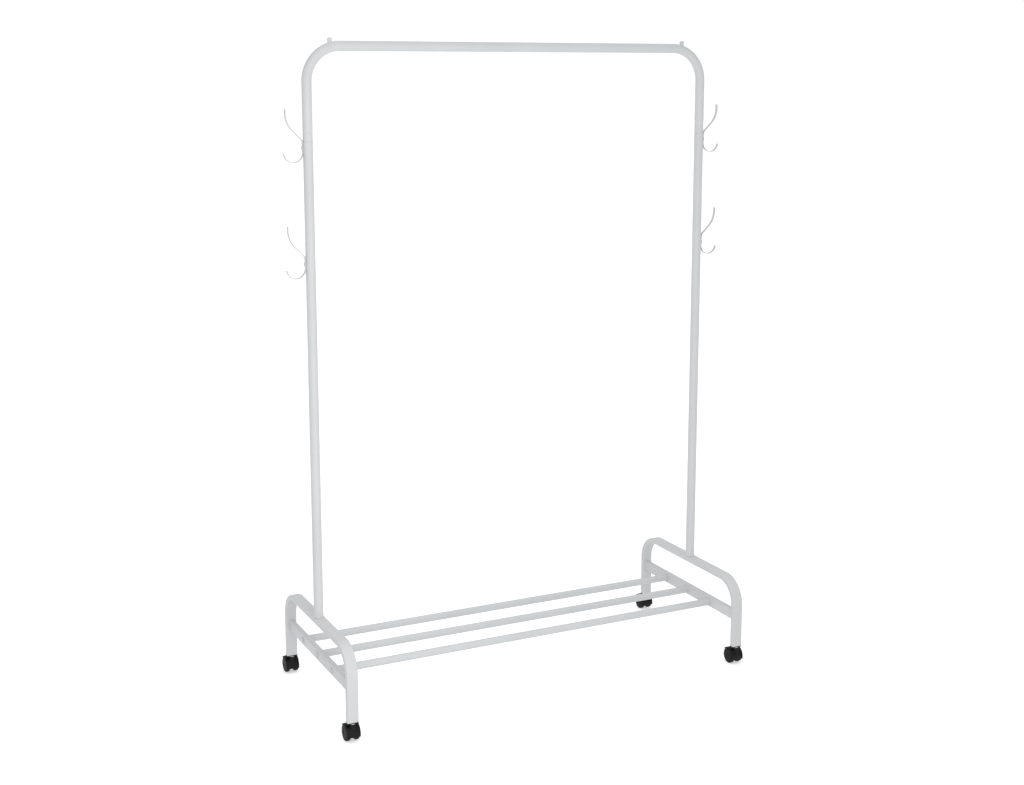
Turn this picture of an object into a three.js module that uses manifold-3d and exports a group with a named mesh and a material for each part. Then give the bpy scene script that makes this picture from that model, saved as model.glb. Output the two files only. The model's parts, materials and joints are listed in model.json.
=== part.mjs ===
// Rolling clothes rack: an inverted-U hanging bar on two uprights, standing on two bent
// end frames that are tied together by three shelf rails and roll on four twin-wheel casters.
// Millimetres, +Z up, +X along the hanging bar, floor at z = 0.
import * as THREE from "three";
import { mergeVertices } from "three/addons/utils/BufferGeometryUtils.js";
import Module from "manifold-3d";

const wasm = await Module();
wasm.setup();

// ---- overall sizes ----
const rack_height = 1730;        // floor to the top of the hanging bar
const upright_spacing = 1150;    // centre to centre along X
const leg_spacing = 490;         // centre to centre of the front and back legs

// ---- hanging bar and uprights, one size of round tube ----
const tube_diameter = 25;
const tube_wall = 1.2;
const bar_bend_radius = 88;      // on the centreline
const bar_drop = 245;            // top of the bar down to the seam with the upright
const spigot_length = 45;        // reduced end of the bar's leg, inside the upright

// ---- end frames and crossbars, one size of flat-sided tube ----
const frame_tube_wide = 30;
const frame_tube_thin = 15;
const frame_tube_wall = 1.5;
const frame_tube_corner = 3;
const frame_top = 246;           // top face of the end frame
const frame_bend_radius = 67;    // on the centreline
const crossbar_height = 142;     // centre of the crossbar and of the rails

// ---- shelf rails ----
const rail_diameter = 20;
const rail_wall = 1;
const rail_spacing = 117;
const rail_insert_length = 20;

// ---- clearances ----
const gap = 0.3;                 // between faces that touch on the real object
const hole_clearance = 0.3;      // radial, bolt in hole
const turning_clearance = 0.25;  // radial, turning parts

// ---- fixings ----
const rail_bolt_diameter = 6;
const rail_bolt_head_diameter = 11;
const rail_bolt_head_height = 3.2;
const rail_bolt_reach = 14;      // into the rail's insert
const base_bolt_diameter = 8;
const base_bolt_head_diameter = 13;
const base_bolt_head_height = 1.8;
const base_bolt_reach = 24;      // into the upright's insert
const base_insert_length = 32;
const bolt_head_bevel = 1;
const bolt_head_rim = 0.5;       // share of a head's height that is full width

// ---- hooks ----
const hook_width = 9;
const hook_thickness = 2;
const hook_tip_length = 10.5;     // straight upright tip of the upper arm
const hook_arm_radius = 60;
const hook_arm_angle = 46.5;     // degrees the arm leans away from the upright
const hook_arm_length = 26;      // straight slanting part
const hook_root_radius = 20;
const hook_flat_length = 21;     // straight part that lies on the upright
const hook_curl_radius = 24.7;
const hook_curl_angle = 175;     // degrees
const hook_below_seam = 18;      // seam down to the centre of the upper hook's straight part
const hook_pitch = 290;          // upper hook down to lower hook
const hook_screw_diameter = 4;
const hook_screw_head_diameter = 7.5;
const hook_screw_head_height = 1.4;
const hook_screw_reach = 7;      // past the upright's outer surface

// ---- top pegs ----
const peg_offset = 62;           // inboard of the upright's centre
const peg_diameter = 11.5;
const peg_head_diameter = 13.5;
const peg_head_height = 6;
const peg_head_bevel = 2;        // round the top edge
const peg_neck_rise = 1.5;       // cone between the neck and the head
const peg_rise = 8;              // above the top of the bar
const peg_shank_diameter = 6;
const peg_shank_reach = 6;       // below the tube's outer surface

// ---- casters ----
const wheel_diameter = 43;
const caster_width = 37;
const caster_trail = 13;         // axle behind the stem
const web_width = 12;            // body between the two wheels
const web_radius = 16;
const wheel_gap = 0.4;           // beside the web
const wheel_round = 3;
const hub_recess_radius = 5;
const hub_recess_depth = 2;
const axle_diameter = 5;
const axle_head_diameter = 8;
const axle_head_thickness = 1.2;
const axle_inset = 0.5;          // end of the axle behind the wheel's face
const cover_gap = 0.7;           // between tread and cover
const cover_thickness = 1.9;
const cover_front_drop = 20;     // degrees below the axle at the front
const cover_back_rise = 40;      // degrees above the axle at the back
const boss_diameter = 17;
const boss_rise = 1.2;           // above the top of the cover
const stem_diameter = 8;
const stem_collar_diameter = 13;
const stem_collar_height = 2.9;
const stem_into_leg = 18;
const stem_into_body = 20;
const plug_flange = 1.6;
const plug_lip = 0.8;            // flange stands out past the leg
const plug_depth = 22;

// ---- fineness of the round faces ----
const tube_facets = 16;
const small_facets = 12;
const wheel_facets = 20;
const bend_steps = 7;
const arm_steps = 4;
const root_steps = 3;
const curl_steps = 9;
const corner_steps = 1;          // on each quarter of a rounded corner, doubled by the arc
const cover_steps = 6;

// ---- colours ----
const coated = { color: 0xe8eaea, roughness: 0.42, metalness: 0.0 };
const zinc = { color: 0xb9bcbf, roughness: 0.35, metalness: 0.9 };
const black_plastic = { color: 0x161617, roughness: 0.45, metalness: 0.0 };
const inner_plastic = { color: 0x2b2b2d, roughness: 0.6, metalness: 0.0 };

// how far a cutting shape runs past the face it cuts
const overshoot = 5;

// ---- derived sizes ----
const tube_radius = tube_diameter / 2;
const tube_bore = tube_radius - tube_wall;
const spigot_radius = tube_bore - gap;
const bar_axis_height = rack_height - tube_radius;
const seam_height = rack_height - bar_drop;
const upper_hook_height = seam_height - hook_below_seam;
const upright_x = upright_spacing / 2;
const leg_y = leg_spacing / 2;
const frame_axis_height = frame_top - frame_tube_thin / 2;
const rail_radius = rail_diameter / 2;
const rail_end = upright_x - frame_tube_thin / 2 - gap;
const wheel_radius = wheel_diameter / 2;
const cover_inner = wheel_radius + cover_gap;
const cover_outer = cover_inner + cover_thickness;
const boss_top = wheel_radius + cover_outer + boss_rise;
const collar_bottom = boss_top + gap;
const collar_top = collar_bottom + stem_collar_height;
const plug_low = collar_top + gap;
const plug_high = plug_low + plug_flange;
const leg_bottom = plug_high + gap;

// ---- helpers ----
const radians = (degrees) => (degrees * Math.PI) / 180;

function solid(geometry) {
  const bare = geometry.clone();
  bare.deleteAttribute("normal");
  bare.deleteAttribute("uv");
  const merged = mergeVertices(bare, 1e-5);
  const mesh = new wasm.Mesh({
    numProp: 3,
    vertProperties: new Float32Array(merged.attributes.position.array),
    triVerts: new Uint32Array(merged.index.array),
  });
  return new wasm.Manifold(mesh);
}

function node(name, shape, finish) {
  const result = shape.getMesh();
  const geometry = new THREE.BufferGeometry();
  geometry.setAttribute("position", new THREE.BufferAttribute(result.vertProperties, 3));
  geometry.setIndex(new THREE.BufferAttribute(result.triVerts, 1));
  geometry.computeVertexNormals();
  const mesh = new THREE.Mesh(geometry, new THREE.MeshStandardMaterial(finish));
  mesh.name = name;
  return mesh;
}

// Solid of revolution about the Z axis; the profile is [radius, z] pairs.
function turned(profile, facets) {
  const points = profile.map(([radius, z]) => new THREE.Vector2(radius, z));
  const geometry = new THREE.LatheGeometry(points, facets);
  geometry.rotateX(Math.PI / 2);
  return solid(geometry);
}

function rod(radius, low, high, facets) {
  return turned([[0, low], [radius, low], [radius, high], [0, high]], facets);
}

// The Z axis laid along +X.
function alongX(shape) {
  return shape.rotate([0, 90, 0]);
}

function mirroredX(shape) {
  return shape.mirror([1, 0, 0]);
}

function polygon(radius, facets) {
  const shape = new THREE.Shape();
  for (let i = 0; i < facets; i += 1) {
    const turn = (2 * Math.PI * i) / facets;
    const x = radius * Math.cos(turn);
    const y = radius * Math.sin(turn);
    if (i === 0) shape.moveTo(x, y);
    else shape.lineTo(x, y);
  }
  shape.closePath();
  return shape;
}

function plainBox(width, height) {
  const shape = new THREE.Shape();
  shape.moveTo(-width / 2, -height / 2);
  shape.lineTo(width / 2, -height / 2);
  shape.lineTo(width / 2, height / 2);
  shape.lineTo(-width / 2, height / 2);
  shape.closePath();
  return shape;
}

function roundedBox(width, height, corner) {
  const x = width / 2;
  const y = height / 2;
  const shape = new THREE.Shape();
  shape.moveTo(-x + corner, -y);
  shape.lineTo(x - corner, -y);
  shape.absarc(x - corner, -y + corner, corner, -Math.PI / 2, 0);
  shape.lineTo(x, y - corner);
  shape.absarc(x - corner, y - corner, corner, 0, Math.PI / 2);
  shape.lineTo(-x + corner, y);
  shape.absarc(-x + corner, y - corner, corner, Math.PI / 2, Math.PI);
  shape.lineTo(-x, -y + corner);
  shape.absarc(-x + corner, -y + corner, corner, Math.PI, 1.5 * Math.PI);
  return shape;
}

// A centreline in one plane, made of straight runs and bends, with a cross-section
// only where the line starts, ends or bends.
class Centreline extends THREE.Curve {
  constructor(start, heading, across, up) {
    super();
    this.at = start.clone();
    this.heading = heading;
    this.across = across;
    this.up = up;
    this.stations = [];
    this.mark();
  }

  direction(angle) {
    const along = this.across.clone().multiplyScalar(Math.cos(angle));
    return along.addScaledVector(this.up, Math.sin(angle));
  }

  mark() {
    this.stations.push({ point: this.at.clone(), tangent: this.direction(this.heading) });
  }

  straight(length) {
    this.at.addScaledVector(this.direction(this.heading), length);
    this.mark();
    return this;
  }

  // Positive angles turn from `across` towards `up`.
  bend(radius, degrees, steps) {
    const side = Math.sign(degrees);
    const centre = this.at.clone();
    centre.addScaledVector(this.direction(this.heading + (side * Math.PI) / 2), radius);
    const first = this.heading;
    for (let i = 1; i <= steps; i += 1) {
      this.heading = first + (radians(degrees) * i) / steps;
      this.at.copy(centre);
      this.at.addScaledVector(this.direction(this.heading - (side * Math.PI) / 2), radius);
      this.mark();
    }
    return this;
  }

  station(t) {
    return this.stations[Math.round(t * (this.stations.length - 1))];
  }

  getPoint(t) {
    return this.station(t).point.clone();
  }

  getPointAt(t) {
    return this.getPoint(t);
  }

  getTangentAt(t) {
    return this.station(t).tangent.clone();
  }

  // The section's x axis stays in the line's plane, on the left of the heading.
  computeFrenetFrames(segments) {
    const frames = { tangents: [], normals: [], binormals: [] };
    const face = new THREE.Vector3().crossVectors(this.across, this.up);
    for (let i = 0; i <= segments; i += 1) {
      const tangent = this.getTangentAt(i / segments);
      const normal = new THREE.Vector3().crossVectors(face, tangent);
      frames.tangents.push(tangent);
      frames.normals.push(normal);
      frames.binormals.push(new THREE.Vector3().crossVectors(tangent, normal));
    }
    return frames;
  }
}

function swept(shape, line) {
  const options = { steps: line.stations.length - 1, extrudePath: line, curveSegments: corner_steps };
  return solid(new THREE.ExtrudeGeometry(shape, options));
}

// A flat outline in the Y-Z plane, given thickness along X and centred on x = 0.
function slab(shape, thickness, curveSegments) {
  const options = { depth: thickness, bevelEnabled: false, curveSegments };
  const geometry = new THREE.ExtrudeGeometry(shape, options);
  geometry.translate(0, 0, -thickness / 2);
  const basis = new THREE.Matrix4();
  basis.makeBasis(
    new THREE.Vector3(0, 1, 0),
    new THREE.Vector3(0, 0, 1),
    new THREE.Vector3(1, 0, 0),
  );
  geometry.applyMatrix4(basis);
  return solid(geometry);
}

// ---- hanging bar ----
const world_x = new THREE.Vector3(1, 0, 0);
const world_y = new THREE.Vector3(0, 1, 0);
const world_z = new THREE.Vector3(0, 0, 1);

function barLine(low) {
  const start = new THREE.Vector3(-upright_x, 0, low);
  const rise = bar_axis_height - bar_bend_radius - low;
  const span = upright_spacing - 2 * bar_bend_radius;
  const line = new Centreline(start, Math.PI / 2, world_x, world_z);
  line.straight(rise);
  line.bend(bar_bend_radius, -90, bend_steps);
  line.straight(span);
  line.bend(bar_bend_radius, -90, bend_steps);
  line.straight(rise);
  return line;
}

const peg_x = upright_x - peg_offset;
const bend_run = bar_bend_radius - peg_offset;
const bend_outer = bar_bend_radius + tube_radius;
const peg_seat = rack_height - bend_outer + Math.sqrt(bend_outer ** 2 - bend_run ** 2);

function hookScrewHole() {
  const half = tube_radius + overshoot;
  const hole = rod(hook_screw_diameter / 2 + hole_clearance, 0, half, small_facets);
  return alongX(hole);
}

function hangingBar() {
  const spigot_low = seam_height - spigot_length;
  const main_bore = swept(polygon(tube_bore, tube_facets), barLine(seam_height + tube_wall));
  let bar = swept(polygon(tube_radius, tube_facets), barLine(seam_height));
  bar = bar.subtract(main_bore);
  for (const side of [-1, 1]) {
    const x = side * upright_x;
    const root = seam_height + tube_wall;
    const spigot = rod(spigot_radius, spigot_low, root - tube_wall / 2, tube_facets);
    const bore_low = spigot_low - overshoot;
    const bore_high = root + overshoot;
    const spigot_bore = rod(spigot_radius - tube_wall, bore_low, bore_high, tube_facets);
    const screw_hole = side > 0 ? hookScrewHole() : mirroredX(hookScrewHole());
    bar = bar.add(spigot.translate([x, 0, 0]));
    bar = bar.subtract(spigot_bore.translate([x, 0, 0]));
    bar = bar.subtract(screw_hole.translate([x, 0, upper_hook_height]));
    const peg_radius = peg_shank_diameter / 2 + hole_clearance;
    const peg_hole = rod(peg_radius, peg_seat - tube_radius, rack_height + gap, small_facets);
    bar = bar.subtract(peg_hole.translate([side * peg_x, 0, 0]));
  }
  return bar;
}

function topPeg(side) {
  const head_top = rack_height + peg_rise;
  const head_low = head_top - peg_head_height;
  const head_radius = peg_head_diameter / 2;
  const stem = turned([
    [0, peg_seat - tube_radius],
    [peg_diameter / 2, peg_seat - tube_radius],
    [peg_diameter / 2, head_low],
    [head_radius, head_low + peg_neck_rise],
    [head_radius, head_top - peg_head_bevel],
    [head_radius - peg_head_bevel, head_top],
    [0, head_top],
  ], small_facets);
  const grown = swept(polygon(tube_radius + gap, tube_facets), barLine(seam_height));
  const place = [side * peg_x, 0, 0];
  const shank_low = peg_seat - peg_shank_reach;
  const shank = rod(peg_shank_diameter / 2, shank_low, head_low, small_facets);
  return stem.translate(place).subtract(grown).add(shank.translate(place));
}

// ---- uprights ----
const upright_low = frame_top + gap;
const upright_high = seam_height - gap;
const hook_heights = { upper: upper_hook_height, lower: upper_hook_height - hook_pitch };

function upright(side) {
  const bore = tube_bore;
  let tube = turned([
    [bore, upright_low],
    [tube_radius, upright_low],
    [tube_radius, upright_high],
    [bore, upright_high],
    [bore, upright_low],
  ], tube_facets);
  for (const height of Object.values(hook_heights)) {
    const hole = side > 0 ? hookScrewHole() : mirroredX(hookScrewHole());
    tube = tube.subtract(hole.translate([0, 0, height]));
  }
  return tube.translate([side * upright_x, 0, 0]);
}

// A plug with a hole for its bolt, standing on z = 0.
function drilledPlug(radius, bolt_diameter, length) {
  const hole = bolt_diameter / 2 + hole_clearance;
  return turned([
    [hole, 0],
    [radius, 0],
    [radius, length],
    [hole, length],
    [hole, 0],
  ], small_facets);
}

// A bolt whose head lies below z = 0 and whose shank runs up.
function bolt(diameter, head_diameter, head_height, shank) {
  return turned([
    [0, -head_height],
    [head_diameter / 2 - bolt_head_bevel, -head_height],
    [head_diameter / 2, -head_height * bolt_head_rim],
    [head_diameter / 2, 0],
    [diameter / 2, 0],
    [diameter / 2, shank],
    [0, shank],
  ], small_facets);
}

// ---- end frames ----
function frameLine(low) {
  const start = new THREE.Vector3(0, -leg_y, low);
  const rise = frame_axis_height - frame_bend_radius - low;
  const span = leg_spacing - 2 * frame_bend_radius;
  const line = new Centreline(start, Math.PI / 2, world_y, world_z);
  line.straight(rise);
  line.bend(frame_bend_radius, -90, bend_steps);
  line.straight(span);
  line.bend(frame_bend_radius, -90, bend_steps);
  line.straight(rise);
  return line;
}

const frame_tube_inner_wide = frame_tube_wide - 2 * frame_tube_wall;
const frame_tube_inner_thin = frame_tube_thin - 2 * frame_tube_wall;

function endFrame(side) {
  const outer = roundedBox(frame_tube_thin, frame_tube_wide, frame_tube_corner);
  const inner = plainBox(frame_tube_inner_thin, frame_tube_inner_wide);
  const tube = swept(outer, frameLine(leg_bottom));
  const bore = swept(inner, frameLine(leg_bottom - overshoot));
  const bolt_radius = base_bolt_diameter / 2 + hole_clearance;
  const hole_low = frame_top - frame_tube_thin - overshoot;
  const hole = rod(bolt_radius, hole_low, frame_top + overshoot, small_facets);
  return tube.subtract(bore).subtract(hole).translate([side * upright_x, 0, 0]);
}

// ---- crossbars ----
function crossbar(side) {
  const length = leg_spacing - frame_tube_thin - 2 * gap;
  const start = new THREE.Vector3(0, -length / 2, crossbar_height);
  const bore_start = new THREE.Vector3(0, -length / 2 - overshoot, crossbar_height);
  const line = new Centreline(start, 0, world_y, world_z).straight(length);
  const bore_line = new Centreline(bore_start, 0, world_y, world_z);
  bore_line.straight(length + 2 * overshoot);
  const outer = roundedBox(frame_tube_wide, frame_tube_thin, frame_tube_corner);
  const inner = plainBox(frame_tube_inner_wide, frame_tube_inner_thin);
  let bar = swept(outer, line).subtract(swept(inner, bore_line));
  const hole_radius = rail_bolt_diameter / 2 + hole_clearance;
  const reach = frame_tube_thin / 2 + overshoot;
  for (const row of rail_rows) {
    const hole = alongX(rod(hole_radius, -reach, reach, small_facets));
    bar = bar.subtract(hole.translate([0, row.y, crossbar_height]));
  }
  return bar.translate([side * upright_x, 0, 0]);
}

const rail_rows = [
  { place: "front", y: -rail_spacing },
  { place: "middle", y: 0 },
  { place: "back", y: rail_spacing },
];

// ---- shelf rails ----
function rail(y) {
  const bore = rail_radius - rail_wall;
  const tube = turned([
    [bore, -rail_end],
    [rail_radius, -rail_end],
    [rail_radius, rail_end],
    [bore, rail_end],
    [bore, -rail_end],
  ], tube_facets);
  return alongX(tube).translate([0, y, crossbar_height]);
}

function railInsert(side, y) {
  const radius = rail_radius - rail_wall - gap;
  const plug = drilledPlug(radius, rail_bolt_diameter, rail_insert_length);
  const laid = alongX(plug).translate([-rail_end, 0, 0]);
  const turnedSide = side > 0 ? mirroredX(laid) : laid;
  return turnedSide.translate([0, y, crossbar_height]);
}

function railBolt(side, y) {
  const head_face = upright_x + frame_tube_thin / 2 + gap;
  const shank = head_face - rail_end + rail_bolt_reach;
  const screw = bolt(
    rail_bolt_diameter,
    rail_bolt_head_diameter,
    rail_bolt_head_height,
    shank,
  );
  const laid = alongX(screw).translate([-head_face, 0, 0]);
  const turnedSide = side > 0 ? mirroredX(laid) : laid;
  return turnedSide.translate([0, y, crossbar_height]);
}

// ---- hooks, drawn on the +X side of an upright that stands at x = 0 ----
const hook_inner_face = tube_radius + gap;
const hook_centre = hook_inner_face + hook_thickness / 2;

function hook(side, height) {
  const lean = radians(hook_arm_angle);
  const arc_run = (hook_arm_radius + hook_root_radius) * (1 - Math.cos(lean));
  const arc_rise = (hook_arm_radius + hook_root_radius) * Math.sin(lean);
  const reach = arc_run + hook_arm_length * Math.sin(lean);
  const rise = arc_rise + hook_arm_length * Math.cos(lean);
  const tip_height = hook_flat_length / 2 + rise + hook_tip_length;
  const start = new THREE.Vector3(hook_centre + reach, 0, tip_height);
  const line = new Centreline(start, -Math.PI / 2, world_x, world_z);
  line.straight(hook_tip_length);
  line.bend(hook_arm_radius, -hook_arm_angle, arm_steps);
  line.straight(hook_arm_length);
  line.bend(hook_root_radius, hook_arm_angle, root_steps);
  line.straight(hook_flat_length);
  line.bend(hook_curl_radius, hook_curl_angle, curl_steps);
  const section = plainBox(hook_thickness, hook_width);
  const hole = hookScrewHole().translate([overshoot, 0, 0]);
  const strip = swept(section, line).subtract(hole).translate([0, 0, height]);
  const sided = side > 0 ? strip : mirroredX(strip);
  return sided.translate([side * upright_x, 0, 0]);
}

function hookScrew(side, height) {
  const head_face = hook_inner_face + hook_thickness + gap;
  const shank = head_face - tube_radius + hook_screw_reach;
  const screw = bolt(
    hook_screw_diameter,
    hook_screw_head_diameter,
    hook_screw_head_height,
    shank,
  );
  const laid = alongX(screw).translate([-head_face, 0, height]);
  const sided = side > 0 ? mirroredX(laid) : laid;
  return sided.translate([side * upright_x, 0, 0]);
}

// ---- casters, drawn with the stem on the Z axis ----
function legPlug() {
  const inner_wide = frame_tube_inner_wide - 2 * gap;
  const inner_thin = frame_tube_inner_thin - 2 * gap;
  const high = leg_bottom + plug_depth;
  const hole_radius = stem_diameter / 2 + gap;
  const upward = (bottom, length) => {
    const start = new THREE.Vector3(0, 0, bottom);
    return new Centreline(start, Math.PI / 2, world_y, world_z).straight(length);
  };
  const outline = roundedBox(
    frame_tube_thin + 2 * plug_lip,
    frame_tube_wide + 2 * plug_lip,
    frame_tube_corner + plug_lip,
  );
  const core = plainBox(inner_thin, inner_wide);
  const flange = swept(outline, upward(plug_low, plug_flange));
  const block = swept(core, upward(plug_low, high - plug_low));
  const hole = rod(hole_radius, plug_low - overshoot, high + overshoot, small_facets);
  return flange.add(block).subtract(hole);
}

function casterStem() {
  const low = boss_top - stem_into_body;
  const high = leg_bottom + stem_into_leg;
  return turned([
    [0, low],
    [stem_diameter / 2, low],
    [stem_diameter / 2, collar_bottom],
    [stem_collar_diameter / 2, collar_bottom],
    [stem_collar_diameter / 2, collar_top],
    [stem_diameter / 2, collar_top],
    [stem_diameter / 2, high],
    [0, high],
  ], small_facets);
}

const caster_half = caster_width / 2;

function casterBody() {
  const front = Math.PI + radians(cover_front_drop);
  const back = radians(cover_back_rise);
  const arch = new THREE.Shape();
  arch.absarc(0, 0, cover_outer, back, front, false);
  arch.absarc(0, 0, cover_inner, front, back, true);
  arch.closePath();
  const cover = slab(arch, caster_width - 2 * gap, cover_steps);
  const web = alongX(rod(web_radius, -web_width / 2, web_width / 2, wheel_facets));
  const wedge = new THREE.Shape();
  wedge.moveTo(0, 0);
  wedge.absarc(0, 0, cover_inner + gap, back, front, false);
  wedge.closePath();
  const backbone = slab(wedge, web_width, cover_steps);
  const boss = rod(boss_diameter / 2, wheel_radius, boss_top, tube_facets);
  const between_wheels = slab(plainBox(2 * boss_diameter, 2 * boss_top), web_width, 1);
  const narrow_boss = boss.intersect(between_wheels);
  const boss_cap_low = wheel_radius + Math.sqrt(cover_inner ** 2 - caster_trail ** 2);
  const boss_cap = rod(boss_diameter / 2, boss_cap_low, boss_top, tube_facets);
  const wheel_space = alongX(rod(cover_inner, -caster_half, caster_half, wheel_facets));
  const cap = boss_cap.subtract(wheel_space.translate([0, caster_trail, wheel_radius]));
  const place = [0, caster_trail, wheel_radius];
  const bore_radius = stem_diameter / 2 + turning_clearance;
  const bore_low = boss_top - stem_into_body - gap;
  const bore = rod(bore_radius, bore_low, boss_top + overshoot, tube_facets);
  const axle_hole = axle_diameter / 2 + hole_clearance;
  const axle_bore = alongX(rod(axle_hole, -web_width, web_width, small_facets));
  let body = cover.add(web).add(backbone).translate(place);
  body = body.add(narrow_boss).add(cap);
  return body.subtract(bore).subtract(axle_bore.translate(place));
}

function casterAxle() {
  const half = caster_half - axle_inset;
  const head = axle_head_diameter / 2;
  const shank = axle_diameter / 2;
  const pin = turned([
    [0, -half],
    [head, -half],
    [head, -half + axle_head_thickness],
    [shank, -half + axle_head_thickness],
    [shank, half - axle_head_thickness],
    [head, half - axle_head_thickness],
    [head, half],
    [0, half],
  ], small_facets);
  return alongX(pin).translate([0, caster_trail, wheel_radius]);
}

// The tread is a polygon that rests on a flat of the full wheel radius.
function casterWheel(side) {
  const tread = wheel_radius / Math.cos(Math.PI / wheel_facets);
  const bore = axle_diameter / 2 + turning_clearance;
  const inner = web_width / 2 + wheel_gap;
  const disc = turned([
    [bore, inner],
    [tread - wheel_round, inner],
    [tread, inner + wheel_round],
    [tread, caster_half - wheel_round],
    [tread - wheel_round, caster_half],
    [hub_recess_radius, caster_half],
    [hub_recess_radius, caster_half - hub_recess_depth],
    [bore, caster_half - hub_recess_depth],
    [bore, inner],
  ], wheel_facets);
  const rolled = disc.rotate([0, 0, 180 / wheel_facets]);
  const laid = alongX(rolled);
  const sided = side > 0 ? laid : mirroredX(laid);
  return sided.translate([0, caster_trail, wheel_radius]);
}

// ---- assembly ----
// The casters trail behind their stems, so the whole rack is moved forward by half of the
// difference, which puts z = 0 below the middle of the rack's overall box.
const front_reach = Math.max(leg_y + frame_tube_thin / 2, leg_y - caster_trail + cover_outer);
const back_reach = leg_y + caster_trail + wheel_radius;
const rack = new THREE.Group();
rack.name = "rolling_clothes_rack";
rack.position.y = (front_reach - back_reach) / 2;

rack.add(node("hanging_bar", hangingBar(), coated));
const sides = [
  { side: "left", sign: -1 },
  { side: "right", sign: 1 },
];
for (const { side, sign } of sides) {
  rack.add(node(`top_peg_${side}`, topPeg(sign), coated));
  rack.add(node(`upright_${side}`, upright(sign), coated));
  const insert_radius = tube_bore - gap;
  const insert = drilledPlug(insert_radius, base_bolt_diameter, base_insert_length);
  const insert_place = [sign * upright_x, 0, upright_low];
  rack.add(node(`upright_insert_${side}`, insert.translate(insert_place), inner_plastic));
  const head_face = frame_top - frame_tube_thin - gap;
  const base_bolt = bolt(
    base_bolt_diameter,
    base_bolt_head_diameter,
    base_bolt_head_height,
    upright_low - head_face + base_bolt_reach,
  );
  const bolt_place = [sign * upright_x, 0, head_face];
  rack.add(node(`base_bolt_${side}`, base_bolt.translate(bolt_place), zinc));
  rack.add(node(`end_frame_${side}`, endFrame(sign), coated));
  rack.add(node(`crossbar_${side}`, crossbar(sign), coated));
  for (const { place, y } of rail_rows) {
    rack.add(node(`rail_insert_${side}_${place}`, railInsert(sign, y), inner_plastic));
    rack.add(node(`rail_bolt_${side}_${place}`, railBolt(sign, y), coated));
  }
  for (const [level, height] of Object.entries(hook_heights)) {
    rack.add(node(`hook_${side}_${level}`, hook(sign, height), coated));
    rack.add(node(`hook_screw_${side}_${level}`, hookScrew(sign, height), coated));
  }
}
for (const { place, y } of rail_rows) {
  rack.add(node(`shelf_rail_${place}`, rail(y), coated));
}

const corners = [
  { corner: "left_front", x: -upright_x, y: -leg_y },
  { corner: "right_front", x: upright_x, y: -leg_y },
  { corner: "left_back", x: -upright_x, y: leg_y },
  { corner: "right_back", x: upright_x, y: leg_y },
];
for (const { corner, x, y } of corners) {
  const at = [x, y, 0];
  rack.add(node(`leg_plug_${corner}`, legPlug().translate(at), black_plastic));
  rack.add(node(`caster_stem_${corner}`, casterStem().translate(at), zinc));
  rack.add(node(`caster_body_${corner}`, casterBody().translate(at), black_plastic));
  rack.add(node(`caster_axle_${corner}`, casterAxle().translate(at), black_plastic));
  rack.add(node(`wheel_outer_${corner}`, casterWheel(Math.sign(x)).translate(at), black_plastic));
  rack.add(node(`wheel_inner_${corner}`, casterWheel(-Math.sign(x)).translate(at), black_plastic));
}

export default rack;
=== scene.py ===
import json
import math

import bmesh
import bpy
from mathutils import Matrix, Vector

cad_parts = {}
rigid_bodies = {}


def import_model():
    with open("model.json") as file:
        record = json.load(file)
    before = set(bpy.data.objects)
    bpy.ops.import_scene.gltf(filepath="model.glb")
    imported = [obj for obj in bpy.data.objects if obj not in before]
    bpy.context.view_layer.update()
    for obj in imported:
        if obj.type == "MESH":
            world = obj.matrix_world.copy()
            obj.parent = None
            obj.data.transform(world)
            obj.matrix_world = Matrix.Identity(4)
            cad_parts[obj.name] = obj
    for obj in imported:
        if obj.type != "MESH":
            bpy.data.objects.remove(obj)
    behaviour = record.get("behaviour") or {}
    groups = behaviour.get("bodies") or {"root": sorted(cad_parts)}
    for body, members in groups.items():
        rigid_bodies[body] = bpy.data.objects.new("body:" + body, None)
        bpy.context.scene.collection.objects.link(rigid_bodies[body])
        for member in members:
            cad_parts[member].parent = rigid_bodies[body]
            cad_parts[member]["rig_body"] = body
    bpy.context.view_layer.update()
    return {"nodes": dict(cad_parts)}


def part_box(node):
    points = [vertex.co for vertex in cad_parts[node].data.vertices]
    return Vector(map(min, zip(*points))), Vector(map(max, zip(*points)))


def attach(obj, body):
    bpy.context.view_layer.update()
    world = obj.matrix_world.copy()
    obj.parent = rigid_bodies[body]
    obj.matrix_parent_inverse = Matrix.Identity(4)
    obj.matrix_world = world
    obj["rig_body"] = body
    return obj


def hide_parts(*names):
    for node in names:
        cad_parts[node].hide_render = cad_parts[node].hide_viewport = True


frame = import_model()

MM = 0.001
X_AXIS, Y_AXIS, Z_AXIS = Vector((1, 0, 0)), Vector((0, 1, 0)), Vector((0, 0, 1))

# ---- fineness: steps in a round, and the angle from which an edge stays sharp ----
TUBE_SEGMENTS = 48
SCREW_SEGMENTS = 72
WHEEL_SEGMENTS = 120
BEND_STEP = math.radians(3)
CORNER_STEPS = 6
ROUNDING_STEPS = 4
ARC_STEPS = 6
FOOT_STEPS = 6
SWAGE_STEPS = 4
WELD_PLACES = 180
WELD_SEGMENTS = 12
HEAD_STEPS = 6
HOOK_END_STEPS = 8
SHARP = math.radians(32)
MERGE = 0.002 * MM

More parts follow.
